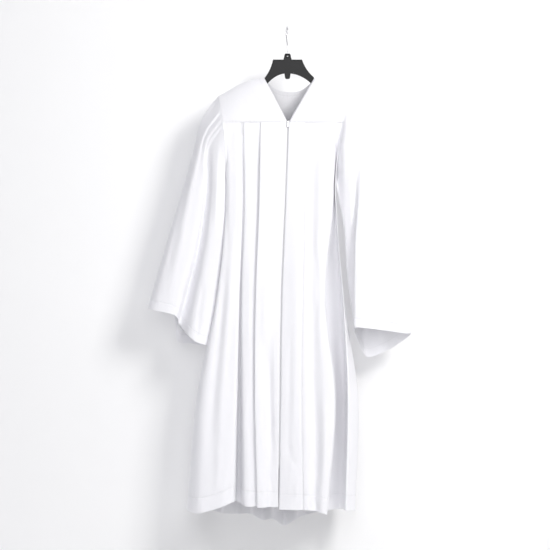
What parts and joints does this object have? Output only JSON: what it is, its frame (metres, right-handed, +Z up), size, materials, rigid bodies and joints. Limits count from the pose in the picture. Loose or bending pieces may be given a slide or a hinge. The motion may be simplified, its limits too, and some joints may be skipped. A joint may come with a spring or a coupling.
{
  "type": "pleated ceremonial robe on a hanger",
  "caption": "Zip-fronted, V-necked, yoked and pleated full-length robe with wide gathered bell sleeves, on a plastic dress hanger with a wire hook.",
  "frame": {"origin": "the underside of the hook's crook, where it rests on a rail or wall hook", "axes": "+Z up along the hanging robe; +Y from the front of the robe to its back, so the zip faces -Y; +X to the right as seen from the front"},
  "size_m": [0.7916, 0.201, 1.5102],
  "materials": {
    "cloth": "smooth plain-woven polyester with a slight satin sheen",
    "zip_tape": "woven tape",
    "zip_metal": "plated",
    "hanger_plastic": "satin moulded plastic",
    "hook_metal": "bright wire"
  },
  "bodies": {
    "robe": {"yoke_front_left": "cloth", "yoke_front_right": "cloth", "yoke_back": "cloth", "front_left_upper": "cloth", "front_left_lower": "cloth", "front_right_upper": "cloth", "front_right_lower": "cloth", "back_upper": "cloth", "back_lower": "cloth", "sleeve_left_front_upper": "cloth", "sleeve_left_front_lower": "cloth", "sleeve_left_back_upper": "cloth", "sleeve_left_back_lower": "cloth", "sleeve_right_front_upper": "cloth", "sleeve_right_front_lower": "cloth", "sleeve_right_back_upper": "cloth", "sleeve_right_back_lower": "cloth", "zip_tape_left": "zip_tape", "zip_tape_right": "zip_tape", "zip_slider": "zip_metal", "hanger_body": "hanger_plastic", "hanger_hook": "hook_metal"},
    "pull_tab": {"zip_pull_tab": "zip_metal"}
  },
  "joints": [
    {"name": "pull_tab_swing", "type": "hinge", "parent": "robe", "child": "pull_tab", "pos_m": [0.00298, -0.05531, -0.2885], "axis": [-1, 0, 0], "range_deg": [0, 160]}
  ]
}
